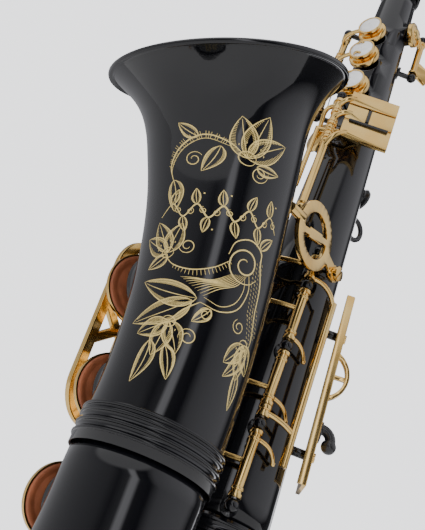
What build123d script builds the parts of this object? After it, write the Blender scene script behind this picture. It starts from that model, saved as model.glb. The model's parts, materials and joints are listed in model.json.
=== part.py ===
"""Alto saxophone in black lacquer with gilt keys, as an assembly of separate pieces. Millimetres.

The model is laid out about the body tube: its axis is x = y = 0, z = 0 is just under the bow, the bell stands
in front (-Y) and the player's left hand is at +X. Angles run from the front towards +X. Every piece is then
moved so that the origin is the centre of the strap ring's hole.
"""
from build123d import *
import os
from math import cos, sin, radians, degrees, asin, atan2, sqrt, copysign

# ---- driving dimensions ----
WALL = 1.0
BODY_LOW, BODY_TOP = 112.0, 545.0
BODY_RADIUS_LOW, BODY_SLOPE = 26.8, 0.0308          # the cone's outer radius, and how it shrinks per mm
BOW_GAP = 72.0                                       # body axis to bell axis
BOW_STRAIGHT_LOW, BOW_END = 72.0, 118.0
BELL_BEND_START, BELL_BEND_RADIUS = 134.0, 310.0     # the bell leans forward on this arc
BELL_PROFILE = [(0, 32.9), (30, 33.2), (60, 33.9), (90, 35.0), (118, 36.9), (140, 39.6), (156, 42.0),
                (167, 45.4), (175, 50.0), (181, 55.2), (186, 60.6)]   # arc length, outer radius
RIM_BEAD = 1.7
CHIMNEY = 2.8                                        # tone hole rim above the tube
PAD_GAP = 0.15                                       # a closed pad stands this far off its tone hole
TUBE_R, TUBE_BORE, ROD_R = 2.6, 1.26, 1.2            # hinge tubes and the steel rods in them
ARM_R = 1.5
STRAP_ANGLE, STRAP_Z, STRAP_STANDOFF = 165.0, 331.5, 8.2
RING_HOLE_R, RING_OUT_R, RING_LAND = 6.0, 9.1, 1.6
NECK_ANGLE = 165.0

NODES, MEMBERS, JOINTS, COUPLINGS = {}, {"horn": []}, [], []


def body_radius(z):
    """Outer radius of the body tube at height z."""
    return BODY_RADIUS_LOW - BODY_SLOPE * (z - 110.0)


def spot(angle, radius, z):
    """A point at an angle and distance from the body axis."""
    return Vector(radius * sin(radians(angle)), -radius * cos(radians(angle)), z)


def facing(angle):
    return Vector(sin(radians(angle)), -cos(radians(angle)), 0)


def bell_angle(z):
    """Lean of the bell's centreline, in degrees, at height z."""
    return degrees(asin(max(0.0, z - BELL_BEND_START) / BELL_BEND_RADIUS))


def bell_centre(z):
    lean = radians(bell_angle(z))
    return Vector(0, -BOW_GAP - BELL_BEND_RADIUS * (1 - cos(lean)), z)


def bell_radius(z):
    length = radians(bell_angle(z)) * BELL_BEND_RADIUS
    for (s0, r0), (s1, r1) in zip(BELL_PROFILE, BELL_PROFILE[1:]):
        if length <= s1:
            return r0 + (r1 - r0) * (length - s0) / (s1 - s0)
    return BELL_PROFILE[-1][1]


RING_CENTRE = spot(STRAP_ANGLE, body_radius(STRAP_Z) + STRAP_STANDOFF, STRAP_Z)


# ---- small shapes ----
def rod(a, b, radius):
    axis = b - a
    return Solid.make_cylinder(radius, axis.length, Plane(origin=a, z_dir=axis))


def pipe(a, b, outer, inner):
    return rod(a, b, outer) - rod(a, b, inner)


def bow_rod(points, radius):
    """A round bar bent on an arc through three points."""
    path = ThreePointArc(*points)
    return sweep(Plane(origin=path @ 0, z_dir=path % 0) * Circle(radius), path)


def slab(a, b, width, thick, across):
    """A flat bar from a to b; across is the direction of its width."""
    along = b - a
    plane = Plane(origin=(a + b) * 0.5, x_dir=along, z_dir=along.cross(across))
    return plane * Box(along.length, width, thick)


def turned(profile, origin, direction):
    """A turned piece: (radius, height) points spun round the direction."""
    outline = Polyline(*[(r, 0, h) for r, h in profile], close=True)
    face = make_face(outline)
    return Plane(origin=origin, z_dir=direction) * revolve(face, Axis.Z)


def joined(*shapes):
    solid = shapes[0]
    for shape in shapes[1:]:
        solid = solid + shape
    return solid


def keep(name, shape, body="horn"):
    NODES[name] = shape
    MEMBERS.setdefault(body, []).append(name)


def bar_through(points, radius):
    """A round bar on a smooth curve through the points."""
    path = Spline(*points)
    return sweep(Plane(origin=path @ 0, z_dir=path % 0) * Circle(radius), path)


def circle_loft(stations, ruled=False):
    """A round tube through (centre, direction, radius) stations."""
    rings = [Plane(origin=c, x_dir=(1, 0, 0), z_dir=d) * Circle(r) for c, d, r in stations]
    return loft(rings, ruled=ruled)


# ---- hinge tubes, cups and pads ----
def hinge_tube(at, low, high):
    x, y = at
    tube = rod(Vector(x, y, low), Vector(x, y, high), TUBE_R)
    for z in (low, high - 2.0):
        tube = tube + rod(Vector(x, y, z), Vector(x, y, z + 2.0), TUBE_R + 0.8)
    return tube - rod(Vector(x, y, low - 1), Vector(x, y, high + 1), TUBE_BORE)


def cup(seat, out, radius):
    pad = radius - 0.8
    return turned([(0, 3.5), (pad, 3.5), (pad, 1.3), (radius, 1.3), (radius, 3.9), (radius - 0.7, 4.6),
                   (radius * 0.72, 4.7), (radius * 0.66, 5.2), (radius * 0.3, 5.6), (0, 5.7)], seat, out)


def pad(seat, out, radius):
    edge = radius - 0.95
    return turned([(0, 0), (edge - 1.6, 0), (edge - 0.6, 0.35), (edge, 1.2), (edge, 3.4), (0, 3.4)], seat, out)


def pearl_seat(top, out, radius):
    """The gilt dish that a pearl sits in."""
    return turned([(0, -0.6), (radius * 0.7, -0.6), (radius + 0.9, 1.2), (radius + 0.9, 3.0), (radius + 0.1, 3.0),
                   (radius + 0.1, 1.4), (0, 1.4)], top, out)


def pearl(top, out, radius):
    return turned([(0, 1.5), (radius, 1.5), (radius, 2.7), (radius * 0.8, 3.4), (radius * 0.4, 3.8), (0, 3.9)],
                  top, out)


def key(name, seat, out, hole, hinge, tubes, open_deg, rest_open, arm, extras=(), pearl_r=0, with_pad=True,
        follows=None):
    """One key, made closed and then turned to its rest. seat is the centre of the tone hole's rim."""
    hx, hy = hinge
    radius = hole + 3.0
    foot = seat + out * PAD_GAP
    top = foot + out * 5.2
    metal = cup(foot, out, radius)
    metal = metal + bar_through(list(arm) + [top + out * 0.5], ARM_R)
    metal = metal + turned([(0, -0.4), (4.2, -0.4), (4.2, 1.0), (3.2, 1.9), (0, 1.9)], top, out)
    for low, high in tubes:
        metal = metal + hinge_tube(hinge, low, high)
    for extra in extras:
        metal = metal + extra
    bore = [rod(Vector(hx, hy, low - 0.5), Vector(hx, hy, high + 0.5), TUBE_BORE) for low, high in tubes]
    for hole_cut in bore:
        metal = metal - hole_cut
    pieces = {name + "_key": metal}
    if with_pad:
        pieces[name + "_pad"] = pad(foot, out, radius)
    if pearl_r:
        pieces[name + "_pearl"] = pearl(top + out * 1.6, out, pearl_r)
        pocket = Solid.make_cylinder(pearl_r + 0.05, 6.0, Plane(top + out * 3.05, z_dir=out))
        pieces[name + "_key"] = metal + pearl_seat(top + out * 1.6, out, pearl_r) - pocket
    side = copysign(1, -(seat.Y - hy) * out.X + (seat.X - hx) * out.Y)
    for node, shape in pieces.items():
        if rest_open:
            shape = shape.rotate(Axis((hx, hy, 0), (0, 0, 1)), side * open_deg)
        keep(node, shape, name)
    JOINTS.append({"name": name + "_swing", "parent": "horn", "child": name, "pos": (hx, hy, seat.Z),
                   "axis": (0, 0, -side if rest_open else side), "range": (0, open_deg), "light": True})
    if follows:
        COUPLINGS.append({"joint": name + "_swing", "follows": follows[0] + "_swing", "ratio": follows[1]})


# ---- tone holes: (angle, height, radius) on the body; height and radius on the bell and bow ----
BODY_HOLES = {"d": (-45, 144, 11.5), "e": (-43, 184, 11.0), "f": (-40, 233, 10.5), "f_sharp": (-38, 261.5, 9.5),
              "g": (15, 414, 8.0), "a": (13, 446, 7.6), "b": (11, 473, 7.0), "g_sharp": (-24, 371, 7.5),
              "e_flat": (-108, 139, 9.5), "palm_d": (95, 497, 6.0), "side_b_flat": (-112, 432, 7.0)}
BELL_HOLES = {"low_b": (153.5, 16.5), "low_b_flat": (210.0, 17.0)}
LOW_FACE = facing(-98)                               # the bell's own holes face the player's right
LOW_C_Z, LOW_C_HOLE = 95.0, 15.5
C_SHARP_HOLE = 12.0


def body_seat(name):
    angle, z, hole = BODY_HOLES[name]
    return spot(angle, body_radius(z) + CHIMNEY, z), facing(angle), hole


def chimney_solids(axis_point, seat, out, hole):
    """The raised wall of a tone hole, and the hole through it."""
    wall = Solid.make_cylinder(hole + 1.1, (seat - axis_point).length - 12.0, Plane(axis_point + out * 12.0, z_dir=out))
    bore = Solid.make_cylinder(hole, (seat - axis_point).length + 5.0, Plane(axis_point + out * 8.0, z_dir=out))
    return wall, bore


def tube_with_holes(outer, inner, holes):
    for axis_point, seat, out, hole in holes:
        outer = outer + chimney_solids(axis_point, seat, out, hole)[0]
    shell = outer - inner
    for axis_point, seat, out, hole in holes:
        shell = shell - chimney_solids(axis_point, seat, out, hole)[1]
    return shell


# ---- body, bow, bell ----
def make_body():
    length = BODY_TOP - BODY_LOW
    low = Plane(origin=(0, 0, BODY_LOW))
    outer = Solid.make_cone(body_radius(BODY_LOW), body_radius(BODY_TOP), length, low)
    inner = Solid.make_cone(body_radius(BODY_LOW) - WALL, body_radius(BODY_TOP) - WALL, length, low)
    holes = []
    for name, (angle, z, hole) in BODY_HOLES.items():
        seat, out, _ = body_seat(name)
        holes.append((Vector(0, 0, z), seat, out, hole))
    shell = tube_with_holes(outer, inner, holes)
    keep("body_tube", shell)


def bow_stations(shrink):
    half = BOW_GAP / 2
    stations = [(Vector(0, 0, BODY_LOW), Vector(0, 0, -1), 26.8), (Vector(0, 0, 92), Vector(0, 0, -1), 27.4)]
    for step in range(0, 181, 15):
        t = radians(step)
        centre = Vector(0, -half + half * cos(t), BOW_STRAIGHT_LOW - half * sin(t))
        stations.append((centre, Vector(0, -sin(t), -cos(t)), 27.9 + 3.9 * step / 180))
    stations += [(Vector(0, -BOW_GAP, 95), Vector(0, 0, 1), 32.3), (Vector(0, -BOW_GAP, BOW_END), Vector(0, 0, 1), 32.8)]
    return [(c, d, r - shrink) for c, d, r in stations]


def make_bow():
    low_c = (Vector(0, -BOW_GAP, LOW_C_Z), Vector(0, -BOW_GAP, LOW_C_Z) + LOW_FACE * (32.3 + CHIMNEY + 0.6), LOW_FACE,
             LOW_C_HOLE)
    bottom = Vector(0, -BOW_GAP / 2, BOW_STRAIGHT_LOW - BOW_GAP / 2)
    c_sharp = (bottom, bottom + Vector(-1, 0, 0) * (29.9 + CHIMNEY), Vector(-1, 0, 0), C_SHARP_HOLE)
    outer, inner = circle_loft(bow_stations(0), True), circle_loft(bow_stations(WALL), True)
    shell = tube_with_holes(outer, inner, [low_c, c_sharp])
    keep("bow", shell)
    return low_c, c_sharp


def bell_stations(shrink):
    stations = [(Vector(0, -BOW_GAP, BOW_END), Vector(0, 0, 1), BELL_PROFILE[0][1] - shrink)]
    for length, radius in BELL_PROFILE:
        lean = length / BELL_BEND_RADIUS
        centre = Vector(0, -BOW_GAP - BELL_BEND_RADIUS * (1 - cos(lean)), BELL_BEND_START + BELL_BEND_RADIUS * sin(lean))
        stations.append((centre, Vector(0, -sin(lean), cos(lean)), radius - shrink))
    return stations


def make_bell():
    holes = []
    for name, (z, hole) in BELL_HOLES.items():
        centre = bell_centre(z)
        holes.append((centre, centre + LOW_FACE * (bell_radius(z) + CHIMNEY + 0.8), LOW_FACE, hole))
    shell = tube_with_holes(circle_loft(bell_stations(0)), circle_loft(bell_stations(WALL)), holes)
    centre, lean, radius = bell_stations(0)[-1]
    shell = shell + Plane(origin=centre, z_dir=lean) * Torus(radius + 0.2, RIM_BEAD)
    keep("bell", shell)
    return dict(zip(BELL_HOLES, holes))


def make_joint_rings():
    """Ferrules that join the bell to the bow, with three beads, and the bow to the body."""
    def ferrule(x, y, low, high, inner, beads):
        band = pipe(Vector(x, y, low), Vector(x, y, high), inner + 1.1, inner)
        for z in beads:
            band = band + (Pos(x, y, z) * Torus(inner + 1.0, 0.95) - rod(Vector(x, y, low), Vector(x, y, high), inner))
        return band
    bell_ring = ferrule(0, -BOW_GAP, 115.0, 133.0, 33.05, (120.0, 124.5, 129.0, 132.0))
    bow_ring = ferrule(0, 0, 101.0, 116.4, 27.5, (103.0, 108.7, 114.4))
    keep("bell_ring", bell_ring)
    keep("bow_ring", bow_ring)


# ---- hinge lines ----
LOWER_HINGE = (21.5, -25.5)
UPPER_HINGE = (-22.0, -17.5)
TABLE_HINGE = (3.0, -31.5)
LOW_HINGE = (-38.0, -38.0)
C_SHARP_HINGE = (-37.5, -14.0)
E_FLAT_HINGE = (-16.0, 28.0)
PALM_HINGE = (21.0, 17.0)
SIDE_HINGE = (-15.0, 24.0)
LOWER_POSTS = (271.5, 248.8, 209.4, 164.2, 121.8)
UPPER_POSTS = (398.0, 428.0, 487.0)
OPEN_LOWER, OPEN_UPPER, OPEN_LOW = 6.0, 8.0, 11.0
BAR_LOW, BAR_HIGH = Vector(34.5, -12.1, 149.0), Vector(32.7, -9.5, 248.0)


def over_cup(seat, out, radius, side):
    """A point just above the edge of a closed cup, on the side towards its hinge."""
    along = Vector(-out.Y, out.X, 0) * side
    return seat + out * 6.1 + along * (radius - 0.8)


def make_lower_stack():
    """D, E and F with their finger touches, and F sharp, whose long bar the three feet lift."""
    hx, hy = LOWER_HINGE

    def foot(z):
        """A curved foot that reaches under the long bar."""
        tip = spot(70, body_radius(z) + 4.1, z - 6.0)
        return bar_through([Vector(hx, hy, z), spot(54, body_radius(z) + 7.6, z - 1.0), tip], 1.2) + Pos(*tip) * Sphere(1.5)

    bar = rod(BAR_LOW, BAR_HIGH, 2.2)
    for z, drop in ((254.2, 8.0), (170.7, 4.0)):
        end = BAR_LOW + (BAR_HIGH - BAR_LOW) * ((z - drop - BAR_LOW.Z) / (BAR_HIGH.Z - BAR_LOW.Z))
        bar = bar + bar_through([Vector(hx, hy, z), Vector(28.6, -19.8, z - 1.0), end], 1.5)
    tubes = {"d": [(125.6, 160.4)], "e": [(174.6, 205.6)], "f": [(213.2, 245.0)],
             "f_sharp": [(252.6, 267.7), (168.0, 174.2)]}
    feet = {"d": (foot(156.4),), "e": (foot(179.5),), "f": (foot(215.4),), "f_sharp": (bar,)}
    for name in ("f", "f_sharp", "e", "d"):
        seat, out, hole = body_seat(name)
        arm = [Vector(hx, hy, seat.Z), Vector(5.0, -32.0, seat.Z), over_cup(seat, out, hole + 3.0, 1)]
        key(name, seat, out, hole, LOWER_HINGE, tubes[name], OPEN_LOWER, True, arm, feet[name],
            pearl_r=0 if name == "f_sharp" else 8.0, follows=("f", 1.0) if name == "f_sharp" else None)


def make_upper_stack():
    hx, hy = UPPER_HINGE
    tubes = {"g": [(401.6, 424.6)], "a": [(431.6, 457.8)], "b": [(458.2, 483.4)]}
    for name in ("g", "a", "b"):
        seat, out, hole = body_seat(name)
        arm = [Vector(hx, hy, seat.Z), Vector(-14.0, -25.5, seat.Z), over_cup(seat, out, hole + 3.0, -1)]
        key(name, seat, out, hole, UPPER_HINGE, tubes[name], OPEN_UPPER, True, arm, with_pad=name != "b",
            pearl_r=8.0 if name != "b" else 7.4)


def table_point(share, z, lift=0.0):
    """A point on the slanting plane of the little finger's touches."""
    low, high = Vector(10.0, -30.5, z), Vector(36.0, -12.0, z)
    along = (high - low).normalized()
    return low + (high - low) * share + Vector(along.Y, -along.X, 0) * lift


def touch(share_a, share_b, low, high):
    """A flat touch with a thickened lower lip."""
    a, b = table_point(share_a, (low + high) / 2), table_point(share_b, (low + high) / 2)
    lip_a, lip_b = table_point(share_a, low + 0.8, -0.9), table_point(share_b, low + 0.8, -0.9)
    return slab(a, b, high - low, 1.8, Vector(0, 0, 1)) + slab(lip_a, lip_b, 1.6, 3.0, Vector(0, 0, 1))


def make_table():
    """The left little finger's keys: G sharp, and the levers of low C sharp, B and B flat."""
    hx, hy = TABLE_HINGE
    seat, out, hole = body_seat("g_sharp")
    reach = bar_through([Vector(hx, hy, 388.0), Vector(6.5, -33.0, 391.0), table_point(0.1, 397.0, -0.5)], 1.8)
    arm = [Vector(hx, hy, 389.0), Vector(-3.2, -33.2, 386.5), Vector(-5.6, -31.6, 378.0)]
    key("g_sharp", seat, out, hole, TABLE_HINGE, [(384.2, 394.0)], 9.0, False, arm,
        [touch(0.0, 1.0, 391.8, 402.5), reach])
    levers = {"c_sharp_lever": (373.2, 383.8, (0.0, 0.42, 378.0, 390.2)),
              "b_lever": (361.2, 372.8, (0.5, 1.0, 378.0, 390.2)),
              "b_flat_lever": (300.2, 360.8, (0.0, 1.0, 362.5, 376.2))}
    for name, (low, high, plate) in levers.items():
        shape = hinge_tube(TABLE_HINGE, low, high) + touch(*plate)
        if name == "c_sharp_lever":
            shape = shape + bar_through([Vector(hx, hy, 377.0), Vector(7.0, -33.0, 379.5),
                                         table_point(0.1, 384.0, -0.5)], 1.8)
        if name == "b_lever":
            shape = shape + bar_through([Vector(hx, hy, 366.5), Vector(10.0, -24.2, 371.0), Vector(20.5, -16.0, 378.0),
                                         table_point(0.62, 384.0, -0.5)], 1.6)
            side = Vector(-4.6, -34.4, 366.5)
            shape = shape + rod(Vector(hx, hy, 366.5), side, 1.6) + rod(side + Vector(0, 0, 1.6), Vector(-4.6, -34.4, 318.0),
                                                                       1.6)
        if name == "b_flat_lever":
            shape = shape + bar_through([Vector(hx, hy, 352.0), Vector(7.6, -33.4, 358.0),
                                         table_point(0.12, 367.0, -0.5)], 1.8)
        shape = shape - rod(Vector(hx, hy, 290), Vector(hx, hy, 410), TUBE_BORE)
        keep(name, shape, name)
        JOINTS.append({"name": name + "_swing", "parent": "horn", "child": name, "pos": (hx, hy, (low + high) / 2),
                       "axis": (0, 0, 1), "range": (0, 8.0), "light": True})


def make_low_keys(bell_holes, low_c, c_sharp):
    """The big cups of low B flat, B and C on the player's right, and low C sharp under the bow."""
    hx, hy = LOW_HINGE
    spans = {"low_b_flat": [(196.2, 223.8)], "low_b": [(140.2, 167.8)]}
    for name, lever in (("low_b_flat", "b_flat_lever"), ("low_b", "b_lever")):
        _, seat, out, hole = bell_holes[name]
        arm = [Vector(hx, hy, seat.Z), over_cup(seat, out, hole + 3.0, -1)]
        key(name, seat, out, hole, LOW_HINGE, spans[name], OPEN_LOW, True, arm, follows=(lever, OPEN_LOW / 8.0))
    _, seat, out, hole = low_c
    plate = slab(Vector(hx + 1.0, hy + 0.5, 112.0), Vector(-56.0, -26.0, 112.0), 10.0, 1.8, Vector(0, 0, 1))
    key("low_c", seat, out, hole, LOW_HINGE, [(83.2, 117.8)], OPEN_LOW, True,
        [Vector(hx, hy, seat.Z), over_cup(seat, out, hole + 3.0, -1)], [plate])
    _, seat, out, hole = c_sharp
    key("low_c_sharp", seat, out, hole, C_SHARP_HINGE, [(28.2, 44.8)], 9.0, False,
        [Vector(*C_SHARP_HINGE, seat.Z), over_cup(seat, out, hole + 3.0, -1)], with_pad=False,
        follows=("c_sharp_lever", 9.0 / 8.0))
    seat, out, hole = body_seat("e_flat")
    plate = slab(Vector(-17.5, 28.6, 127.0), Vector(-33.0, 35.0, 127.0), 9.0, 1.8, Vector(0, 0, 1))
    key("e_flat", seat, out, hole, E_FLAT_HINGE, [(121.2, 134.8)], 9.0, False,
        [Vector(*E_FLAT_HINGE, 131.0), Vector(-25.0, 23.5, 134.5), over_cup(seat, out, hole + 3.0, -1)], [plate],
        with_pad=False)


def make_palm_and_side():
    seat, out, hole = body_seat("palm_d")
    plate = slab(Vector(21.0, 17.0, 478.0), Vector(31.0, 26.0, 470.0), 11.0, 3.0, Vector(0.6, 0.5, 1.0))
    key("palm_d", seat, out, hole, PALM_HINGE, [(470.2, 503.8)], 9.0, False,
        [Vector(*PALM_HINGE, 497.0), over_cup(seat, out, hole + 3.0, 1)], [plate], with_pad=False)
    seat, out, hole = body_seat("side_b_flat")
    plate = slab(Vector(-17.0, 26.0, 300.0), Vector(-29.0, 29.0, 300.0), 28.0, 2.4, Vector(0, 0, 1))
    key("side_b_flat", seat, out, hole, SIDE_HINGE, [(284.2, 439.8)], 9.0, False,
        [Vector(*SIDE_HINGE, 432.0), over_cup(seat, out, hole + 3.0, -1)], [plate], with_pad=False)


# ---- posts, rods, brace, guards and rests ----
def post(foot, at, z):
    """A round post with a ball head bored for the hinge rod, on a saddle that lies on the tube."""
    x, y = at
    head = Vector(x, y, z)
    out = (head - foot).normalized()
    shape = rod(foot, head - out * 1.5, 1.9) + Pos(x, y, z) * Sphere(3.5) + rod(foot - out * 0.9, foot + out * 0.6, 4.6)
    return shape - rod(Vector(x, y, z - 6), Vector(x, y, z + 6), ROD_R)


def on_body(at, z, lift=0.75):
    """The point of the body under a hinge line, where the saddle is soldered on."""
    x, y = at
    scale = (body_radius(z) + lift) / sqrt(x * x + y * y)
    return Vector(x * scale, y * scale, z)


def make_posts():
    stems = []
    for z in LOWER_POSTS:
        stems.append(post(on_body(LOWER_HINGE, z), LOWER_HINGE, z))
    for z in UPPER_POSTS:
        stems.append(post(on_body(UPPER_HINGE, z), UPPER_HINGE, z))
    for z in (398.4, 296.0):
        stems.append(post(on_body(TABLE_HINGE, z), TABLE_HINGE, z))
    for z in (466.5, 508.0):
        stems.append(post(on_body(PALM_HINGE, z), PALM_HINGE, z))
    for z in (280.0, 444.0):
        stems.append(post(on_body(SIDE_HINGE, z), SIDE_HINGE, z))
    stems.append(post(on_body(E_FLAT_HINGE, 145.5), E_FLAT_HINGE, 145.5))
    low = stems
    for z in (228.0, 182.0, 136.0):
        centre = bell_centre(z)
        aim = (Vector(*LOW_HINGE, z) - centre).normalized()
        low.append(post(centre + aim * (bell_radius(z) + (1.9 if z > 140 else 3.2)), LOW_HINGE, z))
    aim = (Vector(*LOW_HINGE, 79.0) - Vector(0, -BOW_GAP, 79.0)).normalized()
    low.append(post(Vector(0, -BOW_GAP, 79.0) + aim * 34.2, LOW_HINGE, 79.0))
    low += [post(Vector(-29.6, -19.0, z), C_SHARP_HINGE, z) for z in (24.5, 48.5)]
    keep("posts", Compound(low))


def make_rods():
    lines = [(LOWER_HINGE, 120.5, 272.5), (UPPER_HINGE, 397.0, 488.0), (TABLE_HINGE, 295.0, 399.5),
             (PALM_HINGE, 465.0, 509.0), (SIDE_HINGE, 279.0, 445.0), (LOW_HINGE, 78.0, 229.0),
             (C_SHARP_HINGE, 23.5, 49.5), (E_FLAT_HINGE, 120.5, 146.5)]
    keep("hinge_rods", Compound([rod(Vector(*at, low), Vector(*at, high), ROD_R) for at, low, high in lines]))


BRACE_CENTRE = Vector(30.0, -47.7, 266.3)
BRACE_OUT, BRACE_IN, BRACE_THICK = 19.3, 13.0, 2.6
BRACE_EYE = Vector(30.0, -17.2, 262.6)


def make_brace():
    """A flat ring with a crossbar between the bell and the body, held by a slotted screw in a socket."""
    plane = Plane(origin=BRACE_CENTRE, x_dir=(0, 1, 0), z_dir=(1, 0, 0))
    ring = plane * (Cylinder(BRACE_OUT, BRACE_THICK) - Cylinder(BRACE_IN, BRACE_THICK * 2))
    bar = plane * (Rot(0, 0, 20) * Box(2 * BRACE_IN + 3, 3.4, BRACE_THICK)) + plane * (
        Rot(0, 0, 20) * Box(BRACE_IN * 1.1, 5.6, BRACE_THICK))
    eye = rod(BRACE_EYE - Vector(1.3, 0, 0), BRACE_EYE + Vector(1.3, 0, 0), 4.9)
    tail = slab(BRACE_CENTRE + Vector(0, 16.0, -1.6), BRACE_EYE, 6.2, BRACE_THICK, Vector(0, 0, 1))
    foot = rod(BRACE_CENTRE + Vector(0, -16.0, 0), Vector(28.8, -74.6, 264.6), 2.8)
    brace = joined(ring, bar, eye, tail, foot) - rod(BRACE_EYE - Vector(4, 0, 0), BRACE_EYE + Vector(4, 0, 0), 2.3)
    keep("bell_brace", brace)
    wall_x = sqrt((body_radius(BRACE_EYE.Z) - 0.3) ** 2 - BRACE_EYE.Y ** 2)
    keep("brace_socket", pipe(Vector(wall_x, BRACE_EYE.Y, BRACE_EYE.Z), BRACE_EYE - Vector(1.35, 0, 0), 3.5, 2.3))
    screw = rod(BRACE_EYE - Vector(7.0, 0, 0), BRACE_EYE + Vector(1.4, 0, 0), 2.2) + rod(
        BRACE_EYE + Vector(1.35, 0, 0), BRACE_EYE + Vector(4.2, 0, 0), 4.3)
    top = BRACE_EYE + Vector(3.9, 0, 0)
    keep("brace_screw", screw - slab(top - Vector(0, 3, 6), top + Vector(0, 3, 6), 1.1, 1.4, Vector(0, 0.9, -0.45)))


def make_strap_ring():
    out = facing(STRAP_ANGLE)
    across = Vector(-out.Y, out.X, 0)
    ring = turned([(RING_HOLE_R, -RING_LAND / 2), (RING_HOLE_R + 0.9, -1.6), (RING_OUT_R - 0.9, -1.6), (RING_OUT_R, -0.7),
                   (RING_OUT_R, 0.7), (RING_OUT_R - 0.9, 1.6), (RING_HOLE_R + 0.9, 1.6), (RING_HOLE_R, RING_LAND / 2)],
                  RING_CENTRE, across)
    wall = spot(STRAP_ANGLE, body_radius(STRAP_Z) + 0.25, STRAP_Z)
    base = slab(wall + Vector(0, 0, -12) + out * 0.8, wall + Vector(0, 0, 12) + out * 0.8, 8.0, 1.2, across)
    ring = ring + slab(wall + out * 0.8 + Vector(0, 0, -4.2), wall + out * 0.8 + Vector(0, 0, 4.2), 3.2, 1.6, across) + base
    keep("strap_ring", ring - Solid.make_cylinder(RING_HOLE_R, 40, Plane(RING_CENTRE - across * 20, z_dir=across)))


GUARD_ANGLE = 124.0


def make_back_side():
    """The long guard plate on the back with its round hoop, the thumb hook on it, and the thumb rest above."""
    out = facing(GUARD_ANGLE)
    across = Vector(-out.Y, out.X, 0)
    high, low = spot(GUARD_ANGLE, 32.0, 264.0), spot(GUARD_ANGLE, 35.4, 149.0)
    plate = slab(high, low, 22.0, 2.2, across)
    lip = slab(high - across * 11.0 - out * 1.6, low - across * 11.0 - out * 1.6, 4.4, 2.0, out)
    down = (low - high).normalized()
    normal = down.cross(across)
    normal = normal if normal.dot(out) > 0 else normal * -1
    for share, hole in ((0.08, 3.2), (0.92, 3.2)):
        spot_on = high + (low - high) * share
        plate = plate - rod(spot_on - normal * 5, spot_on + normal * 5, hole * 0.5)
    for share in (0.34, 0.5):
        spot_on = high + (low - high) * share
        plate = plate - rod(spot_on - normal * 5, spot_on + normal * 5, 4.2)
    hoop_at = high + (low - high) * 0.415 - normal * 6.5
    hoop = Plane(origin=hoop_at, x_dir=down, z_dir=across) * (Cylinder(17.0, 3.0) - Cylinder(14.6, 6.0))
    hoop = hoop + slab(hoop_at, hoop_at + normal * 15.5, 2.4, 2.0, down)
    cut = Plane(origin=hoop_at + normal * 5.9, x_dir=down, z_dir=normal * -1) * Pos(0, 0, 15) * Box(60, 20, 30)
    guard = joined(plate, lip, hoop - cut)
    keep("back_guard", guard)
    screws, legs = [], []
    for share, z in ((0.2, 240.0), (0.84, 168.0)):
        at = high + (low - high) * share
        wall = spot(GUARD_ANGLE, body_radius(at.Z) + 0.35, at.Z)
        legs.append(rod(wall - out * 0.6, wall + out * (((at - wall).dot(out)) - 1.3), 2.6))
        screws.append(rod(at + normal * 1.15, at + normal * 3.0, 2.7) - slab(
            at + normal * 2.8 - across * 4, at + normal * 2.8 + across * 4, 0.9, 1.0, down))
    keep("guard_posts", Compound(legs))
    keep("guard_screws", Compound(screws))
    hook_at = high + (low - high) * 0.71 + normal * 1.15
    hook = rod(hook_at, hook_at + normal * 1.6, 6.0)
    tip = hook_at + normal * 7.4 + down * 6.4
    hook = hook + bow_rod([hook_at + normal * 0.6 - down * 2.0, hook_at + normal * 6.4 + down * 0.4, tip], 2.9)
    keep("thumb_hook", hook + Pos(*tip) * Sphere(4.2))
    rest_at = spot(155, body_radius(352) + 0.4, 352)
    keep("thumb_rest", turned([(0, 0), (6.5, 0), (6.5, 1.2), (8.2, 3.0), (7.6, 4.6), (4.0, 5.6), (0, 5.9)], rest_at,
                              facing(155)))


GUARD_X, GUARD_THICK = -59.5, 2.6
GUARD_LOW, GUARD_HIGH = (-60.0, 156.0), (-66.5, 221.5)      # centres of the frame's two ends, as (y, z)
GUARD_OUT_R, GUARD_BAND = 22.5, 4.6


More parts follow.
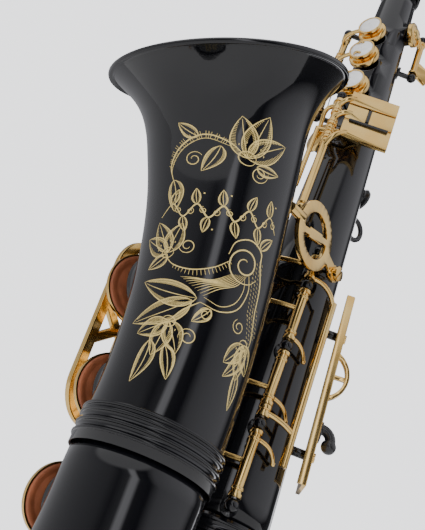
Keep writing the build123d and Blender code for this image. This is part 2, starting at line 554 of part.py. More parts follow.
def make_bell_guard():
    """The frame over the two big cups of the bell: one long band, a cross brace at the waist, and bumper seats."""
    face = Plane(origin=(GUARD_X, 0, 0), x_dir=(0, 1, 0), z_dir=(1, 0, 0))

    def stadium(radius, thick):
        (y0, z0), (y1, z1) = GUARD_LOW, GUARD_HIGH
        span = sqrt((y1 - y0) ** 2 + (z1 - z0) ** 2)
        turn = degrees(atan2(z1 - z0, y1 - y0))
        middle = Pos((y0 + y1) / 2, (z0 + z1) / 2, 0) * Rot(0, 0, turn) * Box(span, 2 * radius, thick)
        return middle + Pos(y0, z0, 0) * Cylinder(radius, thick) + Pos(y1, z1, 0) * Cylinder(radius, thick)

    band = stadium(GUARD_OUT_R, GUARD_THICK) - stadium(GUARD_OUT_R - GUARD_BAND, GUARD_THICK * 2)
    wall = Pos(0, 0, 1.8) * (stadium(GUARD_OUT_R, 5.0) - stadium(GUARD_OUT_R - 1.4, 8.0))
    mid_y, mid_z = (GUARD_LOW[0] + GUARD_HIGH[0]) / 2, (GUARD_LOW[1] + GUARD_HIGH[1]) / 2
    braces = [Pos(mid_y, mid_z, 0) * Rot(0, 0, turn) * Box(52.0, 4.4, GUARD_THICK) for turn in (42, -30)]
    hub = Pos(mid_y, mid_z, 0) * Cylinder(5.0, GUARD_THICK)
    inside = stadium(GUARD_OUT_R - 1.0, GUARD_THICK * 2)
    frame = band + wall + hub
    for brace in braces:
        frame = frame + (brace & inside)
    for y, z in (GUARD_LOW, GUARD_HIGH):
        for turn in (20, 80, 140):
            frame = frame + (Pos(y, z, 0) * Rot(0, 0, turn) * Box(2 * GUARD_OUT_R - 2, 3.0, GUARD_THICK) & inside)
        frame = frame + Pos(y, z, 0) * Cylinder(7.0, GUARD_THICK)
    guard = face * frame
    for y, z, reach in ((-64.5, 246.5, 11.0), (-57.5, 131.0, 34.9)):
        centre = bell_centre(z)
        tip_x = -sqrt(max(0.0, (bell_radius(z) + (-0.3 if z > 140 else 1.6)) ** 2 - (y - centre.Y) ** 2)) - 0.2
        inner = Vector(tip_x, y, z)
        outer = Vector(GUARD_X, y + (0.4 if z > 200 else -0.3), z - (3.5 if z > 200 else -4.5))
        guard = guard + rod(inner, outer, 2.2)
    centre = bell_centre(mid_z)
    tip_x = -sqrt((bell_radius(mid_z) - 0.3) ** 2 - (mid_y - centre.Y) ** 2) - 0.2
    guard = guard + rod(Vector(tip_x, mid_y, mid_z), Vector(GUARD_X, mid_y, mid_z), 2.4)
    keep("bell_key_guard", guard)
    felts = [rod(Vector(GUARD_X + GUARD_THICK / 2, y, z), Vector(GUARD_X + GUARD_THICK / 2 + 1.6, y, z), 4.0)
             for y, z in (GUARD_LOW, GUARD_HIGH)]
    keep("guard_felts", Compound(felts))


# ---- neck and mouthpiece ----
NECK_FOOT, RECEIVER_TOP = 555.0, 573.0
NECK_BEND, NECK_SWEEP, NECK_RUN = 44.0, 98.0, 62.0
NECK_RADII = (12.3, 6.6)


def neck_line(distance):
    """Point and direction along the neck's centreline, from its foot."""
    back = facing(NECK_ANGLE)
    rise = RECEIVER_TOP + 8.0 - NECK_FOOT
    arc = radians(NECK_SWEEP) * NECK_BEND
    start = Vector(0, 0, NECK_FOOT)
    if distance <= rise:
        return start + Vector(0, 0, distance), Vector(0, 0, 1)
    bend_centre = Vector(0, 0, NECK_FOOT + rise) + back * NECK_BEND
    turn = min(distance - rise, arc) / NECK_BEND
    point = bend_centre - back * (NECK_BEND * cos(turn)) + Vector(0, 0, NECK_BEND * sin(turn))
    heading = back * sin(turn) + Vector(0, 0, cos(turn))
    return point + heading * max(0.0, distance - rise - arc), heading


NECK_LENGTH = RECEIVER_TOP + 8.0 - NECK_FOOT + radians(NECK_SWEEP) * NECK_BEND + NECK_RUN


def make_neck():
    def tube(shrink, extra=0.0):
        rings = []
        for step in range(9):
            share = step / 8
            point, heading = neck_line(share * NECK_LENGTH)
            radius = NECK_RADII[0] + (NECK_RADII[1] - NECK_RADII[0]) * share - shrink
            sideways = Vector(-facing(NECK_ANGLE).Y, facing(NECK_ANGLE).X, 0)
            rings.append(Plane(origin=point, x_dir=sideways, z_dir=heading) * Circle(radius))
        return loft(rings)
    neck = tube(0.0) - tube(WALL)
    collar = pipe(Vector(0, 0, RECEIVER_TOP + 0.3), Vector(0, 0, RECEIVER_TOP + 5.3), 15.4, 11.4)
    keep("neck", neck + collar, "neck")
    inner = 12.45
    receiver = pipe(Vector(0, 0, BODY_TOP), Vector(0, 0, RECEIVER_TOP), 15.6, inner)
    ears_at = facing(20)
    ear = slab(ears_at * 14.0 + Vector(0, 0, 566.0), ears_at * 23.5 + Vector(0, 0, 566.0), 9.0, 7.0, Vector(0, 0, 1))
    receiver = receiver + ear - rod(Vector(0, 0, 540), Vector(0, 0, 580), inner)
    gap = slab(ears_at * 10.0 + Vector(0, 0, 564.5), ears_at * 26.0 + Vector(0, 0, 564.5), 19.0, 1.4, Vector(0, 0, 1))
    side = Vector(-ears_at.Y, ears_at.X, 0)
    centre = ears_at * 19.5 + Vector(0, 0, 566.0)
    receiver = receiver - gap - rod(centre - side * 8, centre + side * 8, 1.66)
    keep("neck_receiver", receiver)
    screw = rod(centre - side * 6.5, centre + side * 4.0, 1.6) + rod(centre + side * 3.7, centre + side * 9.4, 2.6)
    screw = screw + slab(centre + side * 10.0 - Vector(0, 0, 6), centre + side * 10.0 + Vector(0, 0, 6), 1.8, 5.0, side)
    keep("neck_screw", screw, "neck_screw")
    JOINTS.append({"name": "neck_screw_turn", "parent": "horn", "child": "neck_screw", "pos": tuple(centre),
                   "axis": tuple(side), "continuous": True})
    JOINTS.append({"name": "neck_turn", "parent": "horn", "child": "neck", "pos": (0, 0, RECEIVER_TOP),
                   "axis": (0, 0, 1), "range": (-25, 25), "friction": 0.6})
    end, heading = neck_line(NECK_LENGTH)
    cork_start = end - heading * 30.0
    taper = (NECK_RADII[1] - NECK_RADII[0]) / NECK_LENGTH
    cork = pipe(cork_start, end - heading * 1.0, 7.95, NECK_RADII[1] - 30.0 * taper + 0.06)
    keep("neck_cork", cork, "neck")
    make_mouthpiece(end, heading)
    make_neck_octave()


def make_mouthpiece(end, heading):
    start = end - heading * 18.0
    length = 86.0
    sideways = Vector(-facing(NECK_ANGLE).Y, facing(NECK_ANGLE).X, 0)
    plane = Plane(origin=start, x_dir=sideways, z_dir=heading)
    blank = plane * revolve(make_face(Polyline((0, 0, 0), (11.6, 0, 0), (12.4, 0, 1.5), (12.4, 0, 7), (11.6, 0, 8), (11.9, 0, 40),
                                               (9.4, 0, length), (0, 0, length), close=True)), Axis.Z)
    up = heading.cross(sideways)
    up = up if up.Z > 0 else up * -1
    beak_low = start + heading * (length + 0.4) - up * 7.4
    beak = Plane(origin=beak_low + up * 1.6, x_dir=sideways, z_dir=(up + heading * 0.42).normalized())
    blank = blank - beak * Pos(0, 0, 20) * Box(60, 120, 40)
    table = Plane(origin=start + heading * 60.0 - up * 8.6, x_dir=sideways, z_dir=up * -1)
    blank = blank - table * Pos(0, 0, 10) * Box(40, 80, 20)
    bore = Solid.make_cylinder(8.0, 36.0, Plane(start - heading * 1, z_dir=heading))
    bore = bore + Solid.make_cone(8.0, 4.6, 32.0, Plane(start + heading * 35.0, z_dir=heading))
    window = slab(start + heading * 66.0 - up * 8.0, start + heading * 84.0 - up * 8.0, 10.5, 9.0, sideways)
    keep("mouthpiece", blank - bore - window, "mouthpiece")
    reed = slab(start + heading * 32.0 - up * 9.7, start + heading * 85.5 - up * 9.7, 15.4, 2.1, sideways)
    cut = Plane(origin=start + heading * 85.5 - up * 8.85, x_dir=sideways, z_dir=(up * -1 + heading * 0.062).normalized())
    keep("reed", reed - cut * Pos(0, 0, 10) * Box(40, 70, 20), "mouthpiece")
    at = start + heading * 46.0
    band = pipe(at - heading * 9, at + heading * 9, 14.2, 13.3)
    cheek = slab(at - heading * 8 - up * 13.9, at + heading * 8 - up * 13.9, 9.0, 2.4, sideways)
    screws = [rod(at + heading * s - up * 15.0 - sideways * 9, at + heading * s - up * 15.0 + sideways * 9, 1.5) +
              rod(at + heading * s - up * 15.0 + sideways * 8.5, at + heading * s - up * 15.0 + sideways * 13, 3.2)
              for s in (-5, 5)]
    pads = [rod(at - heading * 6 + d * 12.25, at + heading * 6 + d * 12.25, 1.0) for d in (up, (up + sideways).normalized(),
                                                                                     (up - sideways).normalized())]
    liga = joined(band, cheek, *screws)
    keep("ligature", liga, "mouthpiece")
    JOINTS.append({"name": "mouthpiece_slide", "type": "slide", "parent": "neck", "child": "mouthpiece",
                   "axis": tuple(heading), "range": (-0.006, 0.012), "friction": 12.0})


def make_neck_octave():
    """The neck's octave key: a saddle hinge across the bend, a small pad cup, and the ring round the foot."""
    point, heading = neck_line(62.0)
    back = facing(NECK_ANGLE)
    side = Vector(-back.Y, back.X, 0)
    up = heading.cross(side)
    up = up if up.Z > 0 else up * -1
    radius = 12.3 - 5.7 * 62.0 / NECK_LENGTH
    pivot = point + up * (radius + 4.2)
    tube = pipe(pivot - side * 6, pivot + side * 6, 2.2, 1.06)
    tip, tip_heading = neck_line(90.0)
    tip_up = tip_heading.cross(side)
    tip_up = tip_up if tip_up.Z > 0 else tip_up * -1
    tip_radius = 12.3 - 5.7 * 90.0 / NECK_LENGTH
    pip = rod(tip + tip_up * (tip_radius - 0.2), tip + tip_up * (tip_radius + 2.6), 2.2) - rod(
        tip, tip + tip_up * (tip_radius + 4), 0.9)
    cup_at = tip + tip_up * (tip_radius + 2.8)
    small_cup = rod(cup_at, cup_at + tip_up * 2.4, 3.6)
    arm = slab(pivot + up * 1.0, cup_at + tip_up * 1.8, 4.0, 1.6, side)
    ring_z = RECEIVER_TOP + 9.5
    ring_radius = 18.6
    ring = pipe(Vector(0, 0, ring_z - 1.2), Vector(0, 0, ring_z + 1.2), ring_radius, ring_radius - 2.2)
    shank = bow_rod([Vector(0, 0, ring_z) - back * (ring_radius - 1.0), point + up * (radius + 9.0) - heading * 26.0,
                     pivot + up * 1.5], 1.5)
    key_metal = joined(tube, arm, small_cup, ring, shank) - rod(pivot - side * 9, pivot + side * 9, 1.06)
    keep("neck_octave_key", key_metal, "neck_octave")
    ears = []
    for s in (-1, 1):
        foot = pivot + side * (s * 8.2)
        ears.append(slab(foot - up * 10.2, foot + up * 2.4, 4.4, 1.9, heading))
    saddle = joined(*ears, rod(pivot - side * 9.1, pivot + side * 9.1, 1.0))
    NODES["neck"] = NODES["neck"] + saddle + pip
    JOINTS.append({"name": "neck_octave_swing", "parent": "neck", "child": "neck_octave", "pos": tuple(pivot),
                   "axis": tuple(side * -1), "range": (0, 3.0), "light": True})


def to_row_frame():
    for name in NODES:
        NODES[name] = Pos(*(RING_CENTRE * -1)) * NODES[name]


def build():
    make_body()
    low_c, c_sharp = make_bow()
    bell_holes = make_bell()
    make_joint_rings()
    make_lower_stack()
    make_upper_stack()
    make_table()
    make_low_keys(bell_holes, low_c, c_sharp)
    make_palm_and_side()
    make_posts()
    make_rods()
    make_brace()
    make_strap_ring()
    make_back_side()
    make_bell_guard()
    make_neck()
    to_row_frame()


build()
os.makedirs("parts", exist_ok=True)
for node, shape in NODES.items():
    export_step(shape, f"parts/{node}.step")
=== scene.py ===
import json
from math import asin, cos, degrees, pi, radians, sin, sqrt

import bpy
import numpy as np
from mathutils import Matrix, Vector

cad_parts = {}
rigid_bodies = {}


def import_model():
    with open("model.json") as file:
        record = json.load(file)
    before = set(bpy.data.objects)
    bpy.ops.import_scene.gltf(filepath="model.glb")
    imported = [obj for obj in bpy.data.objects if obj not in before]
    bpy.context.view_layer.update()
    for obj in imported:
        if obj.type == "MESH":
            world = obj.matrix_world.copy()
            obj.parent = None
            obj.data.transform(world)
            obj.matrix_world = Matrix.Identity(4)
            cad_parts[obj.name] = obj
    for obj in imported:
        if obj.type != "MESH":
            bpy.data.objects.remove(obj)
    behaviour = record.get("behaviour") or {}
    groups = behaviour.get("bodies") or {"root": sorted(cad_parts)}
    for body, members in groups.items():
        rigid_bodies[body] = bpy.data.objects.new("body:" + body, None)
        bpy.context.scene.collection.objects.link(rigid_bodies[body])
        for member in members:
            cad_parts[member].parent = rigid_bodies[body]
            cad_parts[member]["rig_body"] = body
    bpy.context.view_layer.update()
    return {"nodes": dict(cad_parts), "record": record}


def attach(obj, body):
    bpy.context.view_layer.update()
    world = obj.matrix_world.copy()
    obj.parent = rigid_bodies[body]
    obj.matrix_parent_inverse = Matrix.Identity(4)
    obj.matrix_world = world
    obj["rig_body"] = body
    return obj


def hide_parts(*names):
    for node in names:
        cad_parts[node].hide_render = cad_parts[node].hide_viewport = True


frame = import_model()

NODES = frame["nodes"]
ORIGIN = Vector((7.293, 27.218, 331.5))          # the strap ring in the body's own millimetres


def at(x, y, z):
    """Body millimetres to the row frame in metres."""
    return (Vector((x, y, z)) - ORIGIN) / 1000.0


# ---------------------------------------------------------------- materials
NOISE_LOW, NOISE_HIGH = 0.3, 0.7                 # the part of the noise that carries nearly all its values
BUMP_DEPTH = 0.0002


def material(name, colour, rough, metallic=0.0, coat=0.0, vary=0.0, vary_scale=40.0, bump=0.0,
             bump_scale=400.0, rough_vary=0.0, specular=0.5, stretch=(1, 1, 1), second=None):
    """Noise mixes the colour with a darker or second one, and can vary the roughness and raise a grain."""
    mat = bpy.data.materials.new(name)
    mat.use_nodes = True
    nodes, links = mat.node_tree.nodes, mat.node_tree.links
    shader = nodes["Principled BSDF"]
    shader.inputs["Metallic"].default_value = metallic
    shader.inputs["Roughness"].default_value = rough
    shader.inputs["Specular IOR Level"].default_value = specular
    shader.inputs["Coat Weight"].default_value = coat
    shader.inputs["Coat Roughness"].default_value = 0.02
    place = nodes.new("ShaderNodeTexCoord")
    scale = nodes.new("ShaderNodeMapping")
    scale.inputs["Scale"].default_value = stretch
    links.new(place.outputs["Object"], scale.inputs["Vector"])
    noise = nodes.new("ShaderNodeTexNoise")
    noise.inputs["Scale"].default_value = vary_scale
    noise.inputs["Detail"].default_value = 6.0
    links.new(scale.outputs["Vector"], noise.inputs["Vector"])
    ramp = nodes.new("ShaderNodeValToRGB")
    dark = second or tuple(c * (1 - vary) for c in colour)
    low, high = ramp.color_ramp.elements
    low.position, low.color = NOISE_LOW, (*dark, 1)
    high.position, high.color = NOISE_HIGH, (*colour, 1)
    links.new(noise.outputs["Fac"], ramp.inputs["Fac"])
    links.new(ramp.outputs["Color"], shader.inputs["Base Color"])
    if rough_vary:
        spread = nodes.new("ShaderNodeMapRange")
        spread.inputs["From Min"].default_value = NOISE_LOW
        spread.inputs["From Max"].default_value = NOISE_HIGH
        spread.inputs["To Min"].default_value = rough
        spread.inputs["To Max"].default_value = rough + rough_vary
        links.new(noise.outputs["Fac"], spread.inputs["Value"])
        links.new(spread.outputs["Result"], shader.inputs["Roughness"])
    if bump:
        fine = nodes.new("ShaderNodeTexNoise")
        fine.inputs["Scale"].default_value = bump_scale
        fine.inputs["Detail"].default_value = 3.0
        links.new(scale.outputs["Vector"], fine.inputs["Vector"])
        lift = nodes.new("ShaderNodeBump")
        lift.inputs["Strength"].default_value = bump
        lift.inputs["Distance"].default_value = BUMP_DEPTH
        links.new(fine.outputs["Fac"], lift.inputs["Height"])
        links.new(lift.outputs["Normal"], shader.inputs["Normal"])
    return mat


MATS = {
    "black_lacquer": material("black_lacquer_coat", (0.0030, 0.0031, 0.0045), 0.06, coat=0.25, vary=0.3,
                              vary_scale=12, bump=0.012, bump_scale=90, rough_vary=0.04),
    "gilt_brass": material("gilt_brass_polish", (0.95, 0.67, 0.25), 0.12, metallic=1.0, coat=0.3,
                           vary_scale=60, bump=0.03, bump_scale=900, rough_vary=0.07,
                           second=(0.86, 0.53, 0.15)),
    "pad_leather": material("pad_leather_grain", (0.56, 0.175, 0.075), 0.42, coat=0.15, vary=0.35,
                            vary_scale=160, bump=0.5, bump_scale=2600, rough_vary=0.15),
    "pearl": material("pearl_shell", (0.86, 0.86, 0.86), 0.12, coat=0.9, vary=0.14, vary_scale=210, bump=0.02,
                      rough_vary=0.05, stretch=(1, 1, 2.4)),
    "steel": material("blued_steel", (0.42, 0.42, 0.44), 0.25, metallic=1.0, vary=0.2, vary_scale=300,
                      bump=0.05, bump_scale=2000, rough_vary=0.1, stretch=(1, 1, 0.05)),
    "black_plastic": material("moulded_black", (0.012, 0.012, 0.013), 0.22, coat=0.4, vary=0.3,
                              vary_scale=150, bump=0.08, bump_scale=1500, rough_vary=0.1),
    "felt": material("red_felt", (0.42, 0.055, 0.035), 0.95, vary=0.35, vary_scale=900, bump=1.0,
                     bump_scale=3000, specular=0.15),
    "cork": material("key_cork", (0.50, 0.30, 0.20), 0.85, vary=0.45, vary_scale=700, bump=0.9,
                     bump_scale=1800, specular=0.2),
    "ebonite": material("hard_rubber", (0.011, 0.011, 0.012), 0.14, coat=0.6, vary=0.3, vary_scale=80,
                        bump=0.03, rough_vary=0.06),
    "reed_cane": material("reed_cane_grain", (0.72, 0.56, 0.28), 0.55, vary=0.35, vary_scale=380, bump=0.5,
                          bump_scale=900, stretch=(6, 0.25, 3)),
}
ENGRAVED = material("engraved_brass", (0.83, 0.64, 0.24), 0.45, metallic=0.30, vary=0.22, vary_scale=900,
                    bump=0.6, bump_scale=4000, rough_vary=0.15)


# ---------------------------------------------------------------- the CAD nodes that stay
WELD_GAP, EDGE_WIDTH = 0.000002, 0.00025
CREASE = radians(38)
BEVELLED_SLOTS = ("gilt_brass", "steel", "black_plastic")
BEVELLED_FITTINGS = ("posts", "strap_ring", "guard_posts")

slots = {part["node"]: part["material_slot"] for part in frame["record"]["subparts"]}
for name, obj in NODES.items():
    obj.data.materials.clear()
    obj.data.materials.append(MATS[slots[name]])
    obj.data.polygons.foreach_set("use_smooth", [True] * len(obj.data.polygons))
    weld = obj.modifiers.new("weld", "WELD")
    weld.merge_threshold = WELD_GAP
    if slots[name] in BEVELLED_SLOTS or name in BEVELLED_FITTINGS:
        edge = obj.modifiers.new("edge", "BEVEL")
        edge.width = EDGE_WIDTH
        edge.segments = 2
        edge.limit_method = "ANGLE"
        edge.angle_limit = CREASE
        edge.use_clamp_overlap = True
        edge.harden_normals = True
    else:
        obj.data.set_sharp_from_angle(angle=CREASE)


# ---------------------------------------------------------------- mesh helpers
def mesh_object(name, verts, faces, slot_name, body="horn", mat=None, in_mm=True, node=None, sharp=40):
    """A smooth piece that rides on a body; edges sharper than so many degrees stay sharp, and none if 0."""
    if in_mm:
        verts = [at(*v) for v in verts]
    data = bpy.data.meshes.new(name)
    data.from_pydata([tuple(v) for v in verts], [], faces)
    data.validate()
    data.polygons.foreach_set("use_smooth", [True] * len(data.polygons))
    if sharp:
        data.set_sharp_from_angle(angle=radians(sharp))
    data.materials.append(mat or MATS[slot_name])
    obj = bpy.data.objects.new(name, data)
    bpy.context.scene.collection.objects.link(obj)
    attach(obj, body)
    if node:
        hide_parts(node)
    return obj


def basis(direction):
    """Two directions square to a third, and the third at unit length."""
    along = Vector(direction).normalized()
    across = along.orthogonal().normalized()
    return across, along.cross(across), along


def lathe(profile, origin, direction, steps):
    """Vertices and faces of (radius, height) points turned about a line."""
    across, over, along = basis(direction)
    foot = Vector(origin)
    verts, faces, n = [], [], len(profile)
    for i in range(steps):
        angle = 2 * pi * i / steps
        out = across * cos(angle) + over * sin(angle)
        verts += [foot + out * radius + along * height for radius, height in profile]
    for i in range(steps):
        j = (i + 1) % steps
        for k in range(n - 1):
            faces.append((i * n + k, j * n + k, j * n + k + 1, i * n + k + 1))
    return verts, faces


def merge(parts):
    """Several (vertices, faces) pairs as one."""
    verts, faces = [], []
    for part_verts, part_faces in parts:
        base = len(verts)
        verts += part_verts
        faces += [tuple(i + base for i in face) for face in part_faces]
    return verts, faces


def tube(points, radii, sides):
    """A round bar through points, with a radius for each, closed at both ends."""
    path = [Vector(p) for p in points]
    last = len(path) - 1
    across = (path[1] - path[0]).normalized().orthogonal().normalized()
    verts, faces = [], []
    for i, point in enumerate(path):
        along = (path[min(i + 1, last)] - path[max(i - 1, 0)]).normalized()
        across = (across - along * across.dot(along)).normalized()
        over = along.cross(across)
        for k in range(sides):
            angle = 2 * pi * k / sides
            verts.append(point + (across * cos(angle) + over * sin(angle)) * radii[i])
    for i in range(last):
        for k in range(sides):
            m = (k + 1) % sides
            faces.append((i * sides + k, i * sides + m, (i + 1) * sides + m, (i + 1) * sides + k))
    faces.append(tuple(reversed(range(sides))))
    faces.append(tuple(range(last * sides, (last + 1) * sides)))
    return verts, faces


def smooth_path(points, per):
    """Catmull-Rom through the points, with so many steps between two."""
    pts = [Vector(p) for p in points]
    pts = [pts[0] * 2 - pts[1]] + pts + [pts[-1] * 2 - pts[-2]]
    out = []
    for i in range(1, len(pts) - 2):
        a, b, c, d = pts[i - 1:i + 3]
        for k in range(per):
            t = k / per
            out.append(0.5 * ((2 * b) + (c - a) * t + (2 * a - 5 * b + 4 * c - d) * t * t
                              + (3 * b - a - 3 * c + d) * t ** 3))
    return out + [pts[-2]]


# ---------------------------------------------------------------- bell and bow, in body millimetres
ACROSS, UPWARD = Vector((1, 0, 0)), Vector((0, 0, 1))
LEG_GAP = 72.0                                   # from the body tube's axis to the bell's
BOW_R = LEG_GAP / 2                              # radius of the bow's centre line
BOW_Z = 72.0                                     # height of that line's centre
LEAN_Z = 134.0                                   # where the bell's axis starts to lean forward
BEND = 310.0                                     # radius of the leaning axis
WALL = 1.0

# outer radius of the bell against the length along its axis from LEAN_Z
PROFILE = [(-16, 32.8), (0, 32.9), (30, 33.2), (60, 33.9), (90, 35.0), (118, 36.9), (140, 39.6), (156, 42.0),
           (167, 45.4), (175, 50.0), (181, 55.2), (186, 60.6)]
LENGTHS, RADII = zip(*PROFILE)
STEEPNESS = [(RADII[k + 1] - RADII[k]) / (LENGTHS[k + 1] - LENGTHS[k]) for k in range(len(PROFILE) - 1)]
SLOPES = ([STEEPNESS[0]] + [(STEEPNESS[k - 1] + STEEPNESS[k]) / 2 for k in range(1, len(STEEPNESS))]
          + [STEEPNESS[-1]])
BOTTOM, RIM = LENGTHS[0], LENGTHS[-1]

ROLL_R, ROLL_CENTRE_R, ROLL_LIFT = 1.75, 60.8, 0.2     # the rolled rim's bar, its ring, and how far past RIM
ROLL_RINGS, ROLL_START, ROLL_SWEEP = 15, -0.30 * pi, 1.55 * pi
FLARE = 150                                      # the rings stand closer from here to the rim
STATIONS = list(np.linspace(BOTTOM, FLARE, 70)) + list(np.linspace(FLARE + 1, RIM, 44))
BELL_SIDES, BOW_SIDES = 224, 160


def bell_radius(s):
    """Smooth outer radius of the bell at a length along its axis: a cubic between two profile points."""
    if s >= RIM:
        return RADII[-1]
    i = max(1, next(k for k in range(len(LENGTHS)) if LENGTHS[k] > s))
    h = LENGTHS[i] - LENGTHS[i - 1]
    t = max(0.0, (s - LENGTHS[i - 1]) / h)
    return ((2 * t ** 3 - 3 * t * t + 1) * RADII[i - 1] + (t ** 3 - 2 * t * t + t) * h * SLOPES[i - 1]
            + (3 * t * t - 2 * t ** 3) * RADII[i] + (t ** 3 - t * t) * h * SLOPES[i])


def bell_frame(s):
    """Centre of the bell's section, the direction of its front, and the direction of its axis."""
    lean = max(0.0, s) / BEND
    centre = Vector((0, -LEG_GAP - BEND * (1 - cos(lean)), LEAN_Z + BEND * sin(lean) + min(0.0, s)))
    return centre, Vector((0, -cos(lean), -sin(lean))), Vector((0, -sin(lean), cos(lean)))


def lean_at(z):
    """How far the bell's axis leans at a height."""
    return asin(max(0.0, z - LEAN_Z) / BEND)


def on_bell(theta, s, lift):
    """A point just off the bell's outside; theta in degrees from the front towards the player's left."""
    centre, front, along = bell_frame(s)
    slope = (bell_radius(s + 0.5) - bell_radius(s - 0.5)) if s < RIM - 1 else 1.0
    out = ACROSS * sin(radians(theta)) + front * cos(radians(theta))
    normal = (out - along * slope).normalized()
    return centre + out * bell_radius(s) + normal * lift


CUP_ANGLE = radians(-98)                         # the side of the bell that carries the cups, from its front
CUP_SIDE = Vector((sin(CUP_ANGLE), -cos(CUP_ANGLE), 0))


def bell_hole(z, radius, height):
    """A tone hole in the leaning part of the bell, its rim standing so far out from the wall."""
    lean = lean_at(z)
    centre = Vector((0, -LEG_GAP - BEND * (1 - cos(lean)), z))
    return centre, CUP_SIDE, radius, bell_radius(lean * BEND) + height


LOW_C_Z, LOW_C_WALL_R, LOW_C_SHARP_WALL_R = 95.0, 32.3, 29.9
# tone hole: (point on the tube's axis, direction, radius, distance of its rim from the axis)
HOLES = {
    "low_b": bell_hole(153.5, 16.5, 3.6),
    "low_b_flat": bell_hole(210.0, 17.0, 3.6),
    "low_c": (Vector((0, -LEG_GAP, LOW_C_Z)), CUP_SIDE, 15.5, LOW_C_WALL_R + 3.4),
    "low_c_sharp": (Vector((0, -BOW_R, BOW_Z - BOW_R)), -ACROSS, 12.0, LOW_C_SHARP_WALL_R + 2.8),
}
HOLE_SPARE = 0.5                                 # the skin stops this far outside the hole, under its chimney
# the chimney's section: outwards from the hole's radius, and up from its rim
CHIMNEY = [(0, -11.0), (0, -0.5), (0.25, -0.1), (0.7, 0), (1.1, -0.35), (1.2, -1.0), (1.1, -2.4),
           (1.25, -4.0), (1.8, -5.2), (1.6, -11.0)]


def in_hole(point, hole):
    centre, axis, radius, _ = HOLES[hole]
    offset = point - centre
    return offset.dot(axis) > 0 and (offset - axis * offset.dot(axis)).length < radius + HOLE_SPARE


def shell(name, ring_at, rings, node, holes, sides):
    """A skin with its holes left open; ring_at(i) gives (centre, two directions in the ring, radius)."""
    verts = []
    for i in range(rings):
        centre, first, second, radius = ring_at(i)
        for k in range(sides):
            angle = 2 * pi * k / sides
            verts.append(centre + (first * cos(angle) + second * sin(angle)) * radius)
    faces = []
    for i in range(rings - 1):
        for k in range(sides):
            m = (k + 1) % sides
            quad = (i * sides + k, i * sides + m, (i + 1) * sides + m, (i + 1) * sides + k)
            middle = sum((verts[q] for q in quad), Vector()) / 4
            if not any(in_hole(middle, hole) for hole in holes):
                faces.append(quad)
    mesh_object(name, verts, faces, "black_lacquer", node=node, sharp=0)


def bell_ring_at(i):
    """Up the outside, round the rolled rim and down the inside."""
    n = len(STATIONS)
    if n <= i < n + ROLL_RINGS:
        angle = (i - n) / (ROLL_RINGS - 1) * ROLL_SWEEP + ROLL_START
        centre, front, along = bell_frame(RIM)
        return (centre + along * (ROLL_R * sin(angle) + ROLL_LIFT), front, ACROSS,
                ROLL_CENTRE_R + ROLL_R * cos(angle))
    outside = i < n
    s = STATIONS[i] if outside else STATIONS[n - 1 - (i - n - ROLL_RINGS)]
    centre, front, _ = bell_frame(s)
    return centre, front, ACROSS, bell_radius(s) - (0.0 if outside else WALL)


def bow_path():
    """(centre, direction, radius) down the body side, round and up the bell side."""
    body_side = ((112, 26.8), (100, 27.15), (88, 27.5))
    bell_side = ((84, 32.05), (95, 32.3), (106, 32.55), (118, 32.8))
    narrow, widening = 27.9, 3.9                 # the round part's first radius and what it gains
    path = [(Vector((0, 0, z)), -UPWARD, radius) for z, radius in body_side]
    for step in range(0, 181, 3):
        t = radians(step)
        centre = Vector((0, -BOW_R + BOW_R * cos(t), BOW_Z - BOW_R * sin(t)))
        path.append((centre, Vector((0, -sin(t), -cos(t))), narrow + widening * step / 180))
    return path + [(Vector((0, -LEG_GAP, z)), UPWARD, radius) for z, radius in bell_side]


BOW = bow_path()


def bow_ring_at(i):
    """Along the outside and back along the inside."""
    n = len(BOW)
    outside = i < n
    centre, along, radius = BOW[i] if outside else BOW[2 * n - 1 - i]
    return centre, ACROSS, ACROSS.cross(along), radius - (0.0 if outside else WALL)


shell("bell_skin", bell_ring_at, 2 * len(STATIONS) + ROLL_RINGS, "bell", ("low_b", "low_b_flat"), BELL_SIDES)
shell("bow_skin", bow_ring_at, 2 * len(BOW), "bow", ("low_c", "low_c_sharp"), BOW_SIDES)
for name, (centre, axis, radius, top) in HOLES.items():
    verts, faces = lathe([(radius + out, top + up) for out, up in CHIMNEY], centre, axis, 72)
    mesh_object(name + "_tone_hole", verts, faces, "black_lacquer", sharp=50)


# ---------------------------------------------------------------- pads
FACE_DEPTH = 0.0004                              # vertices this near the highest one lie on a disc's face


def disc_of(node):
    """Centre, outward direction, radius and half thickness of a round flat CAD node, from its vertices."""
    points = np.array([v.co for v in NODES[node].data.vertices], float)
    middle = (points.min(0) + points.max(0)) / 2
    _, directions = np.linalg.eigh(np.cov((points - points.mean(0)).T))
    axis = directions[:, 0]                      # the direction in which the disc is thinnest
    height = (points - middle) @ axis
    radius = np.linalg.norm((points - middle) - np.outer(height, axis), axis=1)
    top = radius[height > height.max() - FACE_DEPTH].max()
    low = radius[height < height.min() + FACE_DEPTH].max()
    if top < low:                                # the wider end is the back of the pad, inside the cup
        axis, height = -axis, -height
    return Vector(middle), Vector(axis), float(radius.max()), float(height.max())


